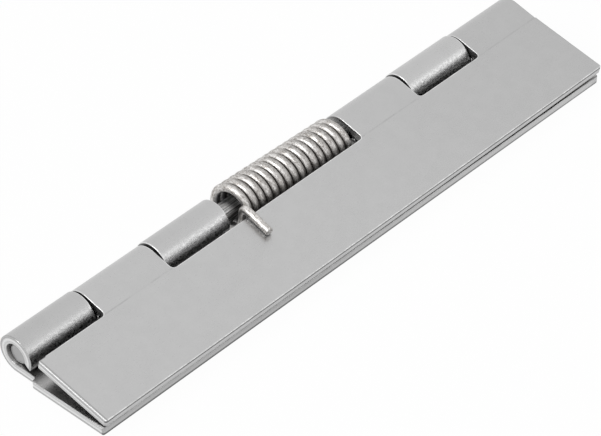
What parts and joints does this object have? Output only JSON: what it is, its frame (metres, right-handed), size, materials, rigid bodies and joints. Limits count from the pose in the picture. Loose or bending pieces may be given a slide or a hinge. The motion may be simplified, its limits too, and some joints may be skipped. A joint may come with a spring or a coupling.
{
  "type": "spring loaded hinge",
  "caption": "Self-closing sheet steel butt hinge without holes: rolled knuckles interlock on a pin, and a torsion spring round the pin presses the leaves shut.",
  "frame": {"origin": "middle of the lower leaf's outer face, which lies on what the hinge is fixed to", "axes": "+X along the pin, +Y from the free edges towards the pin, +Z out of the lower leaf towards the upper leaf"},
  "size_m": [0.1209, 0.0246, 0.0096],
  "materials": {
    "leaf_steel": "bare rolled sheet, satin grey",
    "pin_steel": "drawn rod, fine lines along its length",
    "spring_steel": "drawn spring wire, slightly warm and mottled"
  },
  "bodies": {
    "lower_leaf": {"lower_leaf": "leaf_steel", "hinge_pin": "pin_steel", "torsion_spring": "spring_steel"},
    "upper_leaf": {"upper_leaf": "leaf_steel"}
  },
  "joints": [
    {"name": "leaf_hinge", "type": "hinge", "parent": "lower_leaf", "child": "upper_leaf", "pos_m": [0.00045, 0.01232, 0.00335], "axis": [-1, 0, 0], "range_deg": [0, 190], "stiffness_Nm_per_rad": 0.134, "springref_deg": -15, "deforming": ["torsion_spring"]}
  ]
}
